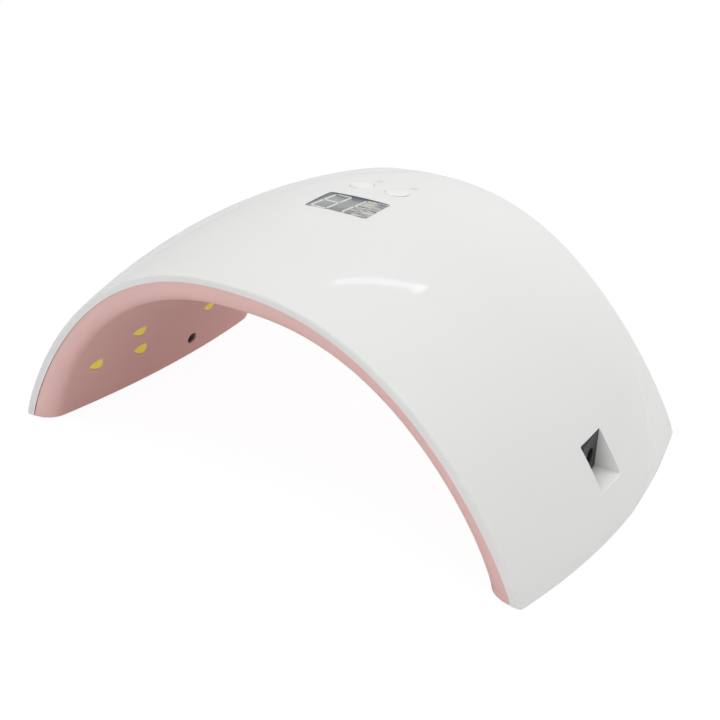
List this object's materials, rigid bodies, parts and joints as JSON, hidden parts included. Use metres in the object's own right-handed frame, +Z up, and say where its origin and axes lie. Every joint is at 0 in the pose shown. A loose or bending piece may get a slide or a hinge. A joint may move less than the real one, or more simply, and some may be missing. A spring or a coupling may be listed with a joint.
{
  "type": "led nail lamp",
  "caption": "Arched curing lamp for nails, a white shell over a pink reflector that straddles the hand, with a digit window and push buttons on its crown.",
  "frame": {"origin": "on the table, below the middle of the lamp", "axes": "+X across the arch to the jack side, +Y from the front edge to the rear edge, +Z up"},
  "size_m": [0.2298, 0.13, 0.085],
  "materials": {
    "shell_white": "high gloss white",
    "reflector_pink": "glossy pink",
    "window_grey": "tinted clear plastic",
    "module_black": "matte black",
    "segment_grey": "pale green grey",
    "switch_grey": "matte dark grey",
    "plunger_black": "matte black",
    "board_green": "solder mask green",
    "chip_black": "moulded black",
    "capacitor_blue": "blue sleeve",
    "inductor_grey": "ferrite grey",
    "connector_cream": "nylon cream",
    "jack_black": "matte black",
    "contact_metal": "tinned",
    "lead_red": "soft insulation",
    "led_board_white": "white mask on aluminium",
    "bead_white": "white package",
    "bead_yellow": "yellow phosphor gel",
    "ribbon_grey": "flat ribbon",
    "sensor_black": "dark infrared lens",
    "screw_steel": "zinc plated",
    "pad_rubber": "soft grey rubber"
  },
  "bodies": {
    "lamp": {"outer_shell": "shell_white", "inner_liner": "reflector_pink", "display_window": "window_grey", "display_module": "module_black", "display_segments": "segment_grey", "switch_left": "switch_grey", "switch_right": "switch_grey", "control_board": "board_green", "controller_chip": "chip_black", "smoothing_capacitor": "capacitor_blue", "power_inductor": "inductor_grey", "board_connector": "connector_cream", "jack_body": "jack_black", "jack_pin": "contact_metal", "jack_leads": "lead_red", "led_board_left": "led_board_white", "led_board_right": "led_board_white", "led_board_top": "led_board_white", "led_beads_left": "bead_white", "led_beads_right": "bead_white", "led_beads_top": "bead_white", "bead_lenses_left": "bead_yellow", "bead_lenses_right": "bead_yellow", "bead_lenses_top": "bead_yellow", "ribbon_left": "ribbon_grey", "ribbon_right": "ribbon_grey", "sensor_emitter": "sensor_black", "sensor_receiver": "sensor_black", "board_screws": "screw_steel", "foot_screws": "screw_steel", "foot_pads": "pad_rubber"},
    "button_left": {"button_left": "shell_white", "plunger_left": "plunger_black"},
    "button_right": {"button_right": "shell_white", "plunger_right": "plunger_black"}
  },
  "joints": [
    {"name": "press_left", "type": "slide", "parent": "lamp", "child": "button_left", "axis": [0, 0, -1], "range_m": [0, 0.0004], "stiffness_N_per_m": 4000},
    {"name": "press_right", "type": "slide", "parent": "lamp", "child": "button_right", "axis": [0, 0, -1], "range_m": [0, 0.0004], "stiffness_N_per_m": 4000}
  ]
}
